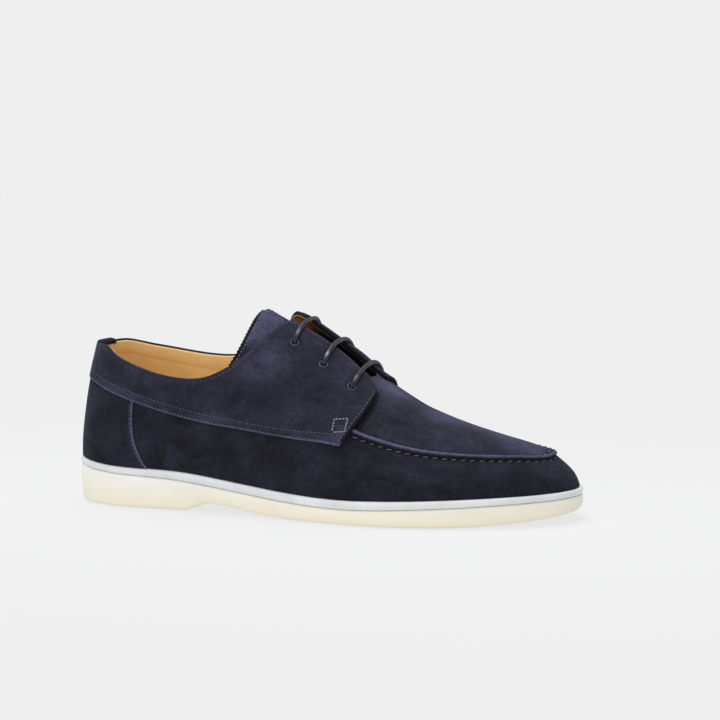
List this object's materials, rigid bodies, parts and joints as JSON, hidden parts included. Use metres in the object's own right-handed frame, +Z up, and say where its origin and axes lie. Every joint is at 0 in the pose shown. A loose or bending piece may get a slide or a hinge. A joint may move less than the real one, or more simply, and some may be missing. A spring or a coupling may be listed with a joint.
{
  "type": "lace-up moc-toe shoe",
  "caption": "Low lace-up moc-toe shoe for the right foot: dark suede upper with raised toe seam, leather lining and a pale rubber sole with a low heel.",
  "frame": {"origin": "on the ground under the middle of the sole's outline", "axes": "+X towards the toe, +Y towards the inner (medial) side, +Z up"},
  "size_m": [0.3, 0.103, 0.112],
  "materials": {
    "navy_suede": "napped suede",
    "navy_trim": "napped suede",
    "tan_lining": "smooth, semi-matt",
    "cream_rubber": "matt",
    "white_rubber": "matt",
    "waxed_cord": "waxed, satin"
  },
  "bodies": {
    "root": {"outsole": "cream_rubber", "midsole": "white_rubber", "insole": "tan_lining", "upper": "navy_suede", "quarter_outer": "navy_suede", "quarter_inner": "navy_suede", "counter": "navy_trim", "heel_tab": "navy_trim", "tongue": "navy_trim", "lace": "waxed_cord"}
  },
  "joints": []
}
